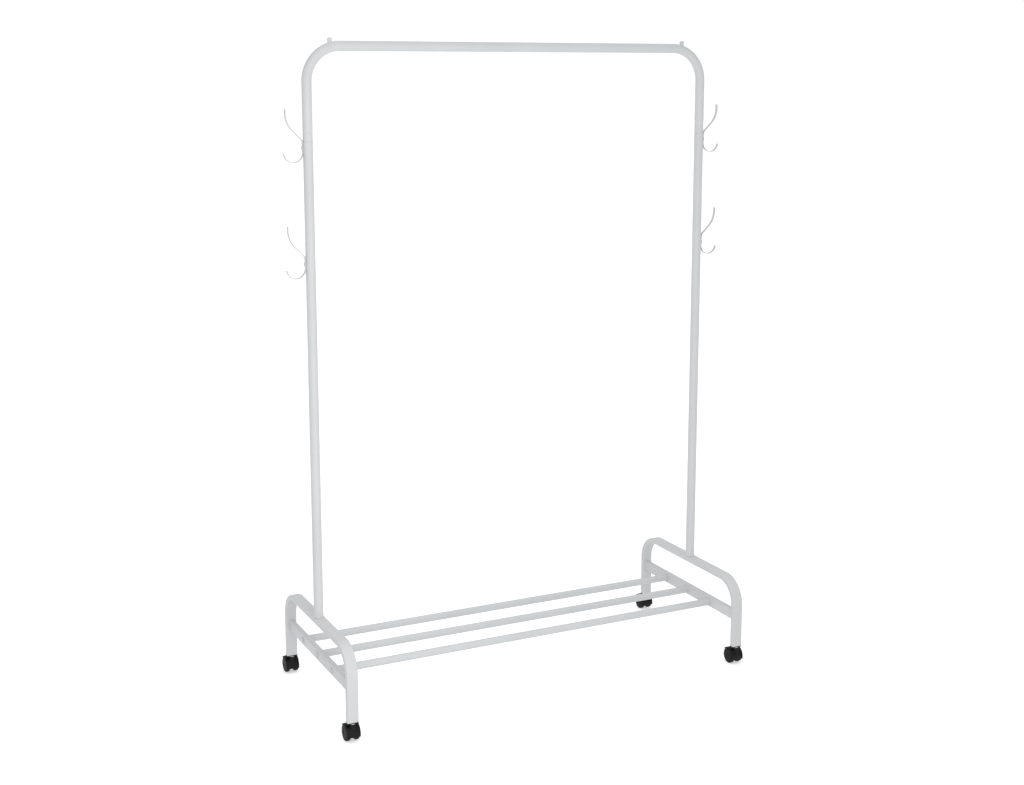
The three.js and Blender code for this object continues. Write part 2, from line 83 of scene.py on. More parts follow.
# ---- tube details ----
SMALLEST_CORNER = 0.15  # of a section's corner, however far it is set in
BAR_BEND = 88 * MM
BAR_WALL = 1.2 * MM
SPIGOT_INSET = 1.5 * MM
LIP = 0.4 * MM
BUTT_LIP = 0.15 * MM
GAP = 0.3 * MM
SEAM_GAP = 0.12 * MM
SWAGE_ABOVE_SEAM = 21 * MM
SWAGE_HALF_WIDTH = 1.4 * MM
SWAGE_DEPTH = 0.35 * MM
FOOT_FLARE = 1.2 * MM
FOOT_FLARE_BELOW = 0.8 * FOOT_FLARE
FOOT_LIP = 0.15 * MM
FOOT_RIM = 0.6 * MM
FOOT_HEIGHT = 3.4 * MM
FRAME_BEND = 67 * MM
FRAME_WALL = 1.5 * MM
FRAME_CORNER = 3 * MM
RAIL_WALL = 1 * MM
WELD_RADIUS = 1.9 * MM
WELD_RIPPLE = 0.12
WELD_PITCH = 2.4 * MM

# ---- pegs: radii, and depths below the head's rim or the bar's surface ----
PEG_DOME = 8.5 * MM
PEG_DOME_MARGIN = 1 * MM
PEG_RIM = 1.1 * MM
PEG_RIM_TURN = 60
PEG_NECK = 5.6 * MM
PEG_FILLET = 0.5 * MM
PEG_HEAD_UNDER = 2.6 * MM
PEG_NECK_TOP = 3.3 * MM
PEG_FOOT_FLARE = 0.4 * MM
PEG_FOOT_DEPTH = 3 * MM
PEG_SHOULDER_DEPTH = 4 * MM
PEG_SHANK = 3 * MM

# ---- fasteners: what the three kinds share ----
HEAD_OVER_CAD = math.sqrt(2)  # wider than the frame's own heads by this; 1 would match them
HEAD_FLAT = 0.62  # of the head's radius
HEAD_EDGE = 0.25 * MM
DRIVE_EDGE = 0.12 * MM
DRIVE_POINT = 0.3 * MM
SHANK_CHAMFER = 0.6 * MM

# ---- hooks: the strip's own bends, with angles in degrees ----
HOOK_TIP = 10.5 * MM
HOOK_ARM_RADIUS = 60 * MM
HOOK_ARM_ANGLE = 46.5
HOOK_ARM = 26 * MM
HOOK_ROOT_RADIUS = 20 * MM
HOOK_FLAT = 21 * MM
HOOK_CURL_RADIUS = 24.7 * MM
HOOK_CURL_ANGLE = 175
HOOK_THICKNESS = 2 * MM
HOOK_EDGE = 0.75 * MM
HOOK_END_HALF = 0.5 * HOOK_EDGE
HOOK_CORNER_LIMIT = 0.9  # of half the strip's width, near its ends

# ---- casters: angles are in degrees around the axle ----
COVER_THICKNESS = 1.7 * MM
COVER_GAP = 0.7 * MM
COVER_EDGE = 0.8 * MM
COVER_FRONT = 200
COVER_BACK = 40
COVER_END = 0.9 * COVER_EDGE
WEB_WIDTH = 12 * MM
WEB_RADIUS = 16 * MM
WEB_RAMP = 8
WEB_EDGE = 0.6 * MM
BOSS_RADIUS = 8.5 * MM
BOSS_EDGE = 1.2 * MM
BOSS_INTO_COVER = 0.4  # of the cover's thickness
TURNING = 0.25 * MM
CUT_PAST = 5 * MM

# ---- axles, and the holes they run in ----
AXLE_RADIUS = 2.5 * MM
WHEEL_BORE = 2.75 * MM
WEB_BORE = 2.8 * MM
AXLE_HEAD = 1.2 * MM
# Share of the head's radius, and depth below its top.
AXLE_HEAD_DOME = ((0.5, 0.12 * MM), (0.85, 0.4 * MM), (1, 0.8 * MM))

# ---- stems and plugs ----
STEM_RADIUS = 4 * MM
STEM_BEVEL = 0.5 * MM
COLLAR_HEIGHT = 2.9 * MM
GROOVE_BELOW_TOP = 6 * MM
GROOVE_WIDTH = 2 * MM
GROOVE_DEPTH = 0.7 * MM
GROOVE_SLOPE = 0.3 * MM
PLUG_LIP = 0.8 * MM
PLUG_EDGE = 0.6 * MM
PLUG_TOP_EDGE = 0.1 * MM
PLUG_CORE_CORNER = 1.2 * MM
PLUG_TIP = 1.5 * MM
PLUG_TIP_TAPER = 0.8 * MM

# ---- wheels: radii and depths; a pair is a radius and its depth ----
TYRE_ROUNDING = 3 * MM
TYRE_SET_BACK = 0.6 * MM
HUB_INNER = 6.6 * MM
HUB_BEVEL = 0.6 * MM
RECESS_INNER = 7.6 * MM
RECESS_OUTER = 16.4 * MM
RECESS_DEPTH = 2.2 * MM
RIM_STEPS = ((16.9 * MM, 0.5 * MM), (17.4 * MM, 0.1 * MM))
GROOVE_OUTER = 17.9 * MM
GROOVE_RADII = (17.7 * MM, 17.2 * MM)
GROOVE_FLOOR_DEPTH = 0.5 * MM
DISC_EDGE = (16.9 * MM, 0.1 * MM)
DISC_RISE = (15.5 * MM, 0.38 * MM)
DISC_DEPTH = 0.2 * MM
GATES = 3
GATE_SHARPNESS = 12
GATE_RINGS = ((13.4, 0), (12.6, 0.25), (12, 0.4), (11.4, 0.25), (10.6, 0))  # millimetres
HUB_RISE = (7.5 * MM, 0.05 * MM)
HUB_OUTER = 5.5 * MM
SINK_TOP = (5 * MM, 0.4 * MM)
SINK_FLOOR = (4.8 * MM, 2 * MM)

# ---- surroundings: the overhead light's spread is in degrees ----
FLOOR_HALF = 40
FLOOR_CELLS = 8
FLOOR_GLOW = 0.45
SEEN_WHITE = 1.05
CAST_FROM_BELOW = 0.83
CAST_FROM_ABOVE = 0.6
OVERHEAD_ENERGY = 0.5
OVERHEAD_SPREAD = 80
OVERHEAD_PLACE = (0, 0, 3)
KEY_ENERGY = 14
KEY_SIZE = (0.9, 2.4)
KEY_PLACE = (-0.75, -1.8, 0.95)
KEY_TOWARD = (0.1, 1, 0)

# ---- camera: angles in degrees, the lens in millimetres ----
CAMERA_AZIMUTH = 26.11
CAMERA_ELEVATION = 9.82
CAMERA_DISTANCE = 4.051
CAMERA_AIM = (-0.0105, 0.963)
CAMERA_LENS = 52.65
CAMERA_SHIFT = -0.06


# ---- reading the frame ----
def low(node):
    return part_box(node)[0]


def high(node):
    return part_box(node)[1]


def centre(node):
    return (low(node) + high(node)) / 2


def size(node):
    return high(node) - low(node)


# ---- materials ----
def spread(tree, value, limits):
    """Maps value from the first two of limits to the last two."""
    node = tree.nodes.new("ShaderNodeMapRange")
    for name, limit in zip(("From Min", "From Max", "To Min", "To Max"), limits):
        node.inputs[name].default_value = limit
    tree.links.new(value, node.inputs["Value"])
    return node.outputs["Result"]


class Nodes:
    """A material's node tree, with a few shorthands."""

    def __init__(self, name):
        self.material = bpy.data.materials.new(name)
        self.material.use_nodes = True
        self.tree = self.material.node_tree
        self.shader = self.tree.nodes["Principled BSDF"]
        self.place = self.tree.nodes.new("ShaderNodeTexCoord").outputs["Object"]

    def link(self, source, target):
        self.tree.links.new(source, target)

    def noise(self, scale, detail=2.0, roughness=0.5, stretch=None):
        node = self.tree.nodes.new("ShaderNodeTexNoise")
        node.inputs["Scale"].default_value = scale
        node.inputs["Detail"].default_value = detail
        node.inputs["Roughness"].default_value = roughness
        source = self.place
        if stretch:
            mapping = self.tree.nodes.new("ShaderNodeMapping")
            mapping.inputs["Scale"].default_value = stretch
            self.link(source, mapping.inputs["Vector"])
            source = mapping.outputs["Vector"]
        self.link(source, node.inputs["Vector"])
        return node.outputs["Fac"]

    def specks(self, scale, radius):
        """1 inside small round specks, 0 between them."""
        node = self.tree.nodes.new("ShaderNodeTexVoronoi")
        node.inputs["Scale"].default_value = scale
        self.link(self.place, node.inputs["Vector"])
        return self.spread(node.outputs["Distance"], 0.0, radius, 1.0, 0.0)

    def spread(self, value, *limits):
        return spread(self.tree, value, limits)

    def blend(self, value, first, second):
        """From first, a colour or another node's output, to the colour second."""
        node = self.tree.nodes.new("ShaderNodeMix")
        node.data_type = "RGBA"
        if isinstance(first, tuple):
            node.inputs["A"].default_value = (*first, 1)
        else:
            self.link(first, node.inputs["A"])
        node.inputs["B"].default_value = (*second, 1)
        self.link(value, node.inputs["Factor"])
        return node.outputs["Result"]

    def bump(self, height, strength, distance, under=None):
        """under is a bump that this one lies on."""
        node = self.tree.nodes.new("ShaderNodeBump")
        node.inputs["Strength"].default_value = strength
        node.inputs["Distance"].default_value = distance
        self.link(height, node.inputs["Height"])
        if under:
            self.link(under, node.inputs["Normal"])
        return node.outputs["Normal"]


def powder_coat():
    """White powder coating: satin, with orange peel, an uneven thickness and a few nibs."""
    nodes = Nodes("powder_coat")
    shader = nodes.shader
    thin, thick, rubbed = (0.67, 0.68, 0.683), (0.7, 0.707, 0.712), (0.6, 0.6, 0.59)
    film = nodes.spread(nodes.noise(scale=7, detail=3), 0.35, 0.65, 0, 1)
    colour = nodes.blend(film, thin, thick)
    rub = nodes.spread(nodes.noise(scale=38, detail=6, roughness=0.65), 0.62, 0.8, 0, 0.35)
    nodes.link(nodes.blend(rub, colour, rubbed), shader.inputs["Base Color"])
    gloss = nodes.spread(nodes.noise(scale=90, detail=4), 0.3, 0.7, 0.36, 0.46)
    nodes.link(gloss, shader.inputs["Roughness"])
    peel = nodes.bump(nodes.noise(scale=620, detail=1.5, roughness=0.4), 0.5, 0.05 * MM)
    nibs = nodes.bump(nodes.specks(95, 0.06), 0.5, 0.08 * MM, peel)
    nodes.link(nibs, shader.inputs["Normal"])
    shader.inputs["Specular IOR Level"].default_value = 0.4
    return nodes.material


def zinc_plate():
    """Zinc plating: a pale metal with turning marks and dull patches."""
    nodes = Nodes("zinc_plate")
    shader = nodes.shader
    patches = nodes.spread(nodes.noise(scale=160, detail=4), 0.35, 0.65, 0, 1)
    dull_metal, bright_metal = (0.42, 0.43, 0.45), (0.6, 0.61, 0.62)
    colour = nodes.blend(patches, dull_metal, bright_metal)
    nodes.link(colour, shader.inputs["Base Color"])
    shader.inputs["Metallic"].default_value = 1.0
    dull = nodes.spread(nodes.noise(scale=300, detail=5), 0.3, 0.7, 0.28, 0.5)
    nodes.link(dull, shader.inputs["Roughness"])
    marks = nodes.noise(scale=120, detail=3, roughness=0.6, stretch=(1, 1, 28))
    nodes.link(nodes.bump(marks, 0.35, 0.03 * MM), shader.inputs["Normal"])
    return nodes.material


def moulded_plastic(name, dark, pale, rough, specular, scuffs):
    """Injection-moulded plastic: a fine spark-eroded grain, with worn, paler patches."""
    nodes = Nodes(name)
    shader = nodes.shader
    tone = nodes.spread(nodes.noise(scale=70, detail=3), 0.35, 0.65, 0, 1)
    colour = nodes.blend(tone, dark, pale)
    worn = nodes.spread(nodes.noise(scale=210, detail=7, roughness=0.7), 0.6, 0.78, 0, scuffs)
    scuffed = (0.09, 0.088, 0.085)
    nodes.link(nodes.blend(worn, colour, scuffed), shader.inputs["Base Color"])
    gloss = nodes.spread(nodes.noise(scale=130, detail=4), 0.3, 0.7, rough - 0.06, rough + 0.08)
    nodes.link(gloss, shader.inputs["Roughness"])
    grain = nodes.bump(nodes.noise(scale=2600, detail=2, roughness=0.6), 0.45, 0.03 * MM)
    sink = nodes.bump(nodes.noise(scale=110, detail=1), 0.2, 0.15 * MM, grain)
    nodes.link(sink, shader.inputs["Normal"])
    shader.inputs["Specular IOR Level"].default_value = specular
    return nodes.material


MATERIALS = {
    "white_coat": powder_coat(),
    "zinc": zinc_plate(),
    "black_plastic": moulded_plastic(
        "black_plastic",
        dark=(0.005, 0.005, 0.0053),
        pale=(0.008, 0.008, 0.0084),
        rough=0.38,
        specular=0.16,
        scuffs=0.2,
    ),
    "wheel_plastic": moulded_plastic(
        "wheel_plastic",
        dark=(0.008, 0.008, 0.0084),
        pale=(0.012, 0.012, 0.0126),
        rough=0.5,
        specular=0.12,
        scuffs=0.4,
    ),
    "inner_plastic": moulded_plastic(
        "inner_plastic",
        dark=(0.03, 0.03, 0.032),
        pale=(0.045, 0.045, 0.047),
        rough=0.6,
        specular=0.3,
        scuffs=0.2,
    ),
}


# ---- sections: a function of how far the outline is set in ----
def round_section(radius):
    def outline(inset):
        turns = [2 * math.pi * i / TUBE_SEGMENTS for i in range(TUBE_SEGMENTS)]
        r = radius - inset
        return [(r * math.cos(t), r * math.sin(t)) for t in turns]

    return outline


def box_section(width, height, corner):
    def outline(inset):
        r = max(corner - inset, SMALLEST_CORNER * corner)
        u, v = width / 2 - inset - r, height / 2 - inset - r
        points = []
        for quarter, (su, sv) in enumerate(((1, 1), (-1, 1), (-1, -1), (1, -1))):
            for step in range(CORNER_STEPS + 1):
                t = math.pi / 2 * (quarter + step / CORNER_STEPS)
                points.append((su * u + r * math.cos(t), sv * v + r * math.sin(t)))
        return points

    return outline


# ---- a centreline of straight runs and bends in one plane ----
class Line:
    def __init__(self, start, heading, across, up):
        self.point, self.heading = Vector(start), math.radians(heading)
        self.across, self.up = across, up
        self.runs = []
        self.length = 0.0

    def direction(self, angle):
        return self.across * math.cos(angle) + self.up * math.sin(angle)

    def straight(self, length):
        return self.run(length, 0.0, 0.0)

    def bend(self, radius, degrees):
        """Positive angles turn from across towards up."""
        angle = math.radians(degrees)
        return self.run(radius * abs(angle), radius, math.copysign(1, angle))

    def run(self, length, radius, side):
        self.runs.append((self.length, length, self.point, self.heading, radius, side))
        self.length += length
        self.point, self.heading = self.read(self.length)
        return self

    def read(self, distance):
        """The point at a distance along the line, and the heading there."""
        past = [run for run in self.runs if distance >= run[0]] or self.runs[:1]
        start, _, point, heading, radius, side = past[-1]
        along = distance - start
        if not radius:
            return point + self.direction(heading) * along, heading
        square = side * math.pi / 2
        turned = heading + side * along / radius
        middle = point + self.direction(heading + square) * radius
        return middle + self.direction(turned - square) * radius, turned

    def marks(self):
        found = []
        for start, length, _, _, radius, _ in self.runs:
            steps = math.ceil(length / radius / BEND_STEP) if radius else 1
            found += [start + length * i / steps for i in range(steps)]
        return found + [self.length]

    def ring(self, outline, distance):
        point, heading = self.read(distance)
        left = self.direction(heading + math.pi / 2)
        face = self.across.cross(self.up)
        return [point + left * u + face * v for u, v in outline]


# ---- skins ----
def skin(bm, rings, closed=False):
    """Joins rings of points. A ring of one point is a pole; closed joins the last to the first."""
    loops = [[bm.verts.new(p) for p in ring] for ring in rings]
    for a, b in zip(loops, loops[1:] + (loops[:1] if closed else [])):
        count = max(len(a), len(b))
        for i in range(count):
            j = (i + 1) % count
            if len(a) == 1:
                bm.faces.new((a[0], b[j], b[i]))
            elif len(b) == 1:
                bm.faces.new((a[i], a[j], b[0]))
            else:
                bm.faces.new((a[i], a[j], b[j], b[i]))
    if not closed:
        for loop in (loops[0], loops[-1]):
            if len(loop) > 1:
                bm.faces.new(loop)


def rounding(radius):
    """(advance, inset) pairs of an end whose outer edge is rounded, from the end inwards."""
    turns = [math.pi / 2 * i / ROUNDING_STEPS for i in range(ROUNDING_STEPS + 1)]
    return [(radius * (1 - math.cos(t)), radius * (1 - math.sin(t))) for t in turns]


def hollow(bm, section, line, wall, start=None, finish=None, extra=()):
    """A tube. start and finish are (advance, inset) pairs from each end inwards, and extra
    holds (distance, inset) pairs between them."""
    start, finish = start or rounding(LIP), finish or rounding(LIP)
    first, last = start[-1][0], line.length - finish[-1][0]
    between = [(s, 0.0) for s in line.marks() if first < s < last]
    outer = [*start, *sorted([*between, *extra])]
    outer += [(line.length - advance, inset) for advance, inset in reversed(finish)]
    inner = [(s, wall) for s in [0.0, *[s for s, _ in between], line.length]]
    rings = [line.ring(section(inset), s) for s, inset in outer]
    rings += [line.ring(section(inset), s) for s, inset in reversed(inner)]
    skin(bm, rings, closed=True)


def turned(bm, profile, place=None, segments=TUBE_SEGMENTS, closed=False):
    """A turned shape about Z. Radius and height may be functions of the angle."""
    place = place or Matrix.Identity(4)
    rings = []
    for radius, height in profile:
        ring = []
        for i in range(segments):
            t = 2 * math.pi * i / segments
            r = radius(t) if callable(radius) else radius
            h = height(t) if callable(height) else height
            ring.append(place @ Vector((r * math.cos(t), r * math.sin(t), h)))
        rings.append(ring[:1] if radius == 0 else ring)
    skin(bm, rings, closed)


def arc(middle, radius, first, last):
    """Points of a profile on an arc, in degrees."""
    points = []
    for i in range(ARC_STEPS + 1):
        t = math.radians(first + (last - first) * i / ARC_STEPS)
        points.append((middle[0] + radius * math.cos(t), middle[1] + radius * math.sin(t)))
    return points


def facing(origin, direction):
    """A place whose Z axis points along direction."""
    turn = direction.to_track_quat("Z", "Y").to_matrix().to_4x4()
    return Matrix.Translation(origin) @ turn


def mesh_of(name, bm):
    bmesh.ops.recalc_face_normals(bm, faces=bm.faces)
    for face in bm.faces:
        face.smooth = True
    for edge in bm.edges:
        edge.smooth = edge.calc_face_angle(0) < SHARP
    mesh = bpy.data.meshes.new(name)
    bm.to_mesh(mesh)
    bm.free()
    return mesh


def piece(node, mesh, finish):
    """Puts a mesh in the place of a CAD node, on that node's body."""
    if isinstance(mesh, bmesh.types.BMesh):
        mesh = mesh_of(node, mesh)
    shown = bpy.data.objects.new(f"{node}.piece", mesh)
    bpy.context.scene.collection.objects.link(shown)
    shown.data.materials.append(MATERIALS[finish])
    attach(shown, frame["nodes"][node]["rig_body"])
    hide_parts(node)
    return shown


# ---- hanging bar, uprights, pegs ----
SIDES = {"left": -1, "right": 1}
bar_radius = size("hanging_bar").y / 2
upright_x = high("upright_right").x - bar_radius
middle_y = centre("hanging_bar").y
bar_axis = high("hanging_bar").z - bar_radius
seam = high("upright_left").z


def hanging_bar():
    """The bent tube, its two ends reduced to slide into the uprights."""
    spigot = seam - low("hanging_bar").z
    rise = bar_axis - BAR_BEND - low("hanging_bar").z
    line = Line((-upright_x, middle_y, low("hanging_bar").z), 90, X_AXIS, Z_AXIS)
    line.straight(rise).bend(BAR_BEND, -90).straight(2 * (upright_x - BAR_BEND))
    line.bend(BAR_BEND, -90).straight(rise)
    section = round_section(bar_radius)
    chamfered = [(a, SPIGOT_INSET + i) for a, i in rounding(LIP)]
    shoulder = spigot + SEAM_GAP
    end = [*chamfered, (shoulder, SPIGOT_INSET)]
    end += [(shoulder + a, i) for a, i in rounding(LIP)]
    swages = []
    for step in range(-SWAGE_STEPS, SWAGE_STEPS + 1):
        share = step / SWAGE_STEPS
        depth = SWAGE_DEPTH * (1 + math.cos(math.pi * share)) / 2
        at = shoulder + SWAGE_ABOVE_SEAM + SWAGE_HALF_WIDTH * share
        swages += [(at, depth), (line.length - at, depth)]
    bm = bmesh.new()
    wall = SPIGOT_INSET + BAR_WALL
    hollow(bm, section, line, wall, end, end, swages)
    piece("hanging_bar", bm, "white_coat")


def upright(side):
    """A straight tube, flared where it stands on the end frame."""
    node = f"upright_{side}"
    line = Line((centre(node).x, middle_y, low(node).z), 90, X_AXIS, Z_AXIS)
    line.straight(size(node).z)
    foot = [(0, -FOOT_FLARE_BELOW), (FOOT_LIP, -FOOT_FLARE)]
    for step in range(1, FOOT_STEPS + 1):
        share = step / FOOT_STEPS
        above = FOOT_RIM + (FOOT_HEIGHT - FOOT_RIM) * share
        foot.append((above, -FOOT_FLARE * (1 - share) ** 2))
    bm = bmesh.new()
    hollow(bm, round_section(bar_radius), line, BAR_WALL, foot)
    piece(node, bm, "white_coat")


def top_peg(side):
    """A pin with a domed head, seated on the outside of the bar's bend."""
    node = f"top_peg_{side}"
    top, bottom = high(node).z, low(node).z
    head = size(node).x / 2
    half = math.degrees(math.asin((head - PEG_DOME_MARGIN) / PEG_DOME))
    crown = arc((0, top - PEG_DOME), PEG_DOME, 90, 90 - half)
    rim = top - PEG_DOME + PEG_DOME * math.cos(math.radians(half))
    bend_outer = BAR_BEND + bar_radius
    run = BAR_BEND - (upright_x - abs(centre(node).x))
    seat = bar_axis - BAR_BEND + math.sqrt(bend_outer**2 - run**2)
    profile = [(0, top), *crown[1:]]
    rim_middle = (head - PEG_RIM, rim - PEG_DOME_MARGIN)
    profile += arc(rim_middle, PEG_RIM, PEG_RIM_TURN, -PEG_RIM_TURN)
    profile += [(PEG_NECK + PEG_FILLET, rim - PEG_HEAD_UNDER), (PEG_NECK, rim - PEG_NECK_TOP)]
    profile += [(PEG_NECK, seat + PEG_FILLET), (PEG_NECK + PEG_FOOT_FLARE, seat - PEG_FOOT_DEPTH)]
    profile += [(PEG_SHANK, seat - PEG_SHOULDER_DEPTH), (PEG_SHANK, bottom), (0, bottom)]
    bm = bmesh.new()
    turned(bm, profile, Matrix.Translation((centre(node).x, middle_y, 0)))
    piece(node, bm, "white_coat")


# ---- end frames, crossbars, rails ----
def end_frame(side):
    """The bent tube with two legs. A crossbar is as thick as this tube is in its own plane."""
    node = f"end_frame_{side}"
    wide, thick = size(node).x, size(f"crossbar_{side}").x
    reach = size(node).y - thick
    start = Vector((centre(node).x, middle_y - reach / 2, low(node).z))
    rise = size(node).z - thick / 2 - FRAME_BEND
    line = Line(start, 90, Y_AXIS, Z_AXIS)
    line.straight(rise).bend(FRAME_BEND, -90).straight(reach - 2 * FRAME_BEND)
    line.bend(FRAME_BEND, -90).straight(rise)
    bm = bmesh.new()
    hollow(bm, box_section(thick, wide, FRAME_CORNER), line, FRAME_WALL)
    piece(node, bm, "white_coat")


def evenly(points, count):
    """Points the same distance apart around a closed outline, each with its outward normal."""
    ends = points[1:] + points[:1]
    lengths = [(Vector(b) - Vector(a)).length for a, b in zip(points, ends)]
    total, found = sum(lengths), []
    for i in range(count):
        left = total * i / count
        k = 0
        while left > lengths[k]:
            left -= lengths[k]
            k += 1
        a, b = Vector(points[k]), Vector(ends[k])
        along = (b - a).normalized()
        found.append((a + along * left, Vector((along.y, -along.x)), total * i / count))
    return found


def weld(bm, section, end, away):
    """A bead around a crossbar's end, where it meets the leg. away is 1 or -1,
    the side along Y that the crossbar lies on."""
    rings = []
    for place, outward, along in evenly(section(0), WELD_PLACES):
        ripple = 1 + WELD_RIPPLE * math.sin(2 * math.pi * along / WELD_PITCH)
        ring = []
        for i in range(WELD_SEGMENTS):
            t = 2 * math.pi * i / WELD_SEGMENTS
            out = WELD_RADIUS * ripple * math.cos(t)
            from_leg = WELD_RADIUS * ripple * math.sin(t)
            at = place + outward * out
            ring.append(end + Vector((at.y, away * from_leg, at.x)))
        rings.append(ring)
    skin(bm, rings, closed=True)


def crossbar(side):
    node = f"crossbar_{side}"
    middle = centre(node)
    front_end = Vector((middle.x, low(node).y, middle.z))
    back_end = Vector((middle.x, high(node).y, middle.z))
    line = Line(front_end, 0, Y_AXIS, Z_AXIS)
    line.straight(size(node).y)
    section = box_section(size(node).z, size(node).x, FRAME_CORNER)
    bm = bmesh.new()
    hollow(bm, section, line, FRAME_WALL)
    weld(bm, section, front_end, 1)
    weld(bm, section, back_end, -1)
    piece(node, bm, "white_coat")


def shelf_rail(row):
    """A round tube that butts against both crossbars."""
    node = f"shelf_rail_{row}"
    line = Line((low(node).x - GAP, centre(node).y, centre(node).z), 0, X_AXIS, Z_AXIS)
    line.straight(size(node).x + 2 * GAP)
    bm = bmesh.new()
    end = rounding(BUTT_LIP)
    hollow(bm, round_section(size(node).z / 2), line, RAIL_WALL, end, end)
    piece(node, bm, "white_coat")


# ---- screws and bolts ----
def hexagon(across_flats):
    def radius(t):
        side = math.pi / 3
        return across_flats / 2 / math.cos((t + side / 2) % side - side / 2)

    return radius


def cross(length, half_width):
    def radius(t):
        folded = abs((t + math.pi / 4) % (math.pi / 2) - math.pi / 4)
        if math.tan(folded) < half_width / length:
            return length / math.cos(folded)
        return half_width / math.sin(folded)

    return radius


BASE_BOLT = {
    "head_height": 1.8 * MM,
    "crown": 1 * MM,
    "drive": hexagon(5 * MM),
    "drive_depth": 2.4 * MM,
    "shank_radius": 4 * MM,
    "finish": "zinc",
}
RAIL_BOLT = {
    "head_height": 3.2 * MM,
    "crown": 2.4 * MM,
    "drive": hexagon(3.5 * MM),
    "drive_depth": 0.5 * MM,
    "shank_radius": 3 * MM,
    "finish": "white_coat",
}
HOOK_SCREW = {
    "head_height": 1.4 * MM,
    "crown": 0.9 * MM,
    "drive": cross(1.9 * MM, 0.5 * MM),
    "drive_depth": 0.8 * MM,
    "shank_radius": 2 * MM,
    "finish": "white_coat",
}


def fastener(node, direction, head_height, crown, drive, drive_depth, shank_radius, finish):
    """A round-headed fastener that points along direction, which is never Y. crown is how far
    the head domes, and drive the recess's outline."""
    length = Vector([abs(c) for c in direction]).dot(size(node))
    head = size(node).y / 2 * HEAD_OVER_CAD
    flat = head * HEAD_FLAT
    profile = [(0, drive_depth + DRIVE_POINT), (drive, drive_depth), (drive, DRIVE_EDGE)]
    profile += [(lambda t: drive(t) + DRIVE_EDGE, 0), (flat, 0)]
    for step in range(1, HEAD_STEPS + 1):
        share = step / HEAD_STEPS
        profile.append((flat + (head - flat) * math.sin(share * math.pi / 2), crown * share**2))
    profile += [(head, head_height - HEAD_EDGE), (head - HEAD_EDGE, head_height)]
    profile += [(shank_radius, head_height), (shank_radius, length - SHANK_CHAMFER)]
    profile += [(shank_radius - SHANK_CHAMFER, length), (0, length)]
    bm = bmesh.new()
    place = facing(centre(node) - direction * length / 2, direction)
    turned(bm, profile, place, SCREW_SEGMENTS)
    piece(node, bm, finish)


# ---- hooks ----
def hook(side, level):
    """A flat strip: a long arm above the screw, a curl below it, and round ends."""
    node = f"hook_{side}_{level}"
    sign = SIDES[side]
    width = size(node).y
    lean = math.radians(HOOK_ARM_ANGLE)
    bends = HOOK_ARM_RADIUS + HOOK_ROOT_RADIUS
    reach = bends * (1 - math.cos(lean)) + HOOK_ARM * math.sin(lean)
    inner = high(node).x if side == "left" else low(node).x
    strip_x = inner + sign * HOOK_THICKNESS / 2
    start = Vector((strip_x + sign * reach, middle_y, high(node).z))
    line = Line(start, -90, X_AXIS * sign, Z_AXIS)
    line.straight(HOOK_TIP).bend(HOOK_ARM_RADIUS, -HOOK_ARM_ANGLE).straight(HOOK_ARM)
    line.bend(HOOK_ROOT_RADIUS, HOOK_ARM_ANGLE).straight(HOOK_FLAT)
    line.bend(HOOK_CURL_RADIUS, HOOK_CURL_ANGLE)
    round_end = width / 2
    places = []
    for step in range(HOOK_END_STEPS + 1):
        t = math.pi / 2 * step / HOOK_END_STEPS
        advance, half = round_end * (1 - math.cos(t)), round_end * math.sin(t)
        places += [(advance, half), (line.length - advance, half)]
    last = line.length - round_end
    places += [(s, round_end) for s in line.marks() if round_end < s < last]
    rings = []
    for distance, half in sorted(places):
        half = max(half, HOOK_END_HALF)
        corner = min(HOOK_EDGE, HOOK_CORNER_LIMIT * half)
        rings.append(line.ring(box_section(HOOK_THICKNESS, 2 * half, corner)(0), distance))
    bm = bmesh.new()
    skin(bm, rings)
    piece(node, bm, "white_coat")


# ---- casters, built once with the stem on the Z axis and copied to each corner ----
SAMPLE = "right_front"
CORNERS = ("left_front", "right_front", "left_back", "right_back")
stem_at = centre(f"caster_stem_{SAMPLE}")
axle_at = centre(f"wheel_outer_{SAMPLE}")
trail = axle_at.y - stem_at.y
wheel_radius = size(f"wheel_outer_{SAMPLE}").z / 2
cover_inner = wheel_radius + COVER_GAP
cover_outer = cover_inner + COVER_THICKNESS
boss_top = high(f"caster_body_{SAMPLE}").z
axle_place = facing(Vector((0, trail, wheel_radius)), X_AXIS)


def solid(name, mesh):
    made = bpy.data.objects.new(name, mesh)
    bpy.context.scene.collection.objects.link(made)
    return made


def combined(base, steps):
    """Applies (operation, tool) pairs to base in turn and returns the mesh."""
    for operation, tool in steps:
        change = base.modifiers.new(tool.name, "BOOLEAN")
        change.operation, change.solver, change.object = operation, "EXACT", tool
    bpy.context.view_layer.update()
    graph = bpy.context.evaluated_depsgraph_get()
    bm = bmesh.new()
    bm.from_object(base, graph)
    bmesh.ops.remove_doubles(bm, verts=bm.verts, dist=MERGE)
    bmesh.ops.dissolve_degenerate(bm, edges=bm.edges, dist=MERGE)
    for used in [base, *[tool for _, tool in steps]]:
        bpy.data.objects.remove(used)
    return mesh_of("combined", bm)


def turned_solid(name, profile, place=None, segments=TUBE_SEGMENTS):
    bm = bmesh.new()
    turned(bm, profile, place, segments)
    return solid(name, mesh_of(name, bm))


def rod(name, radius, first, last, place=None, segments=TUBE_SEGMENTS):
    profile = [(0, first), (radius, first), (radius, last), (0, last)]
    return turned_solid(name, profile, place, segments)


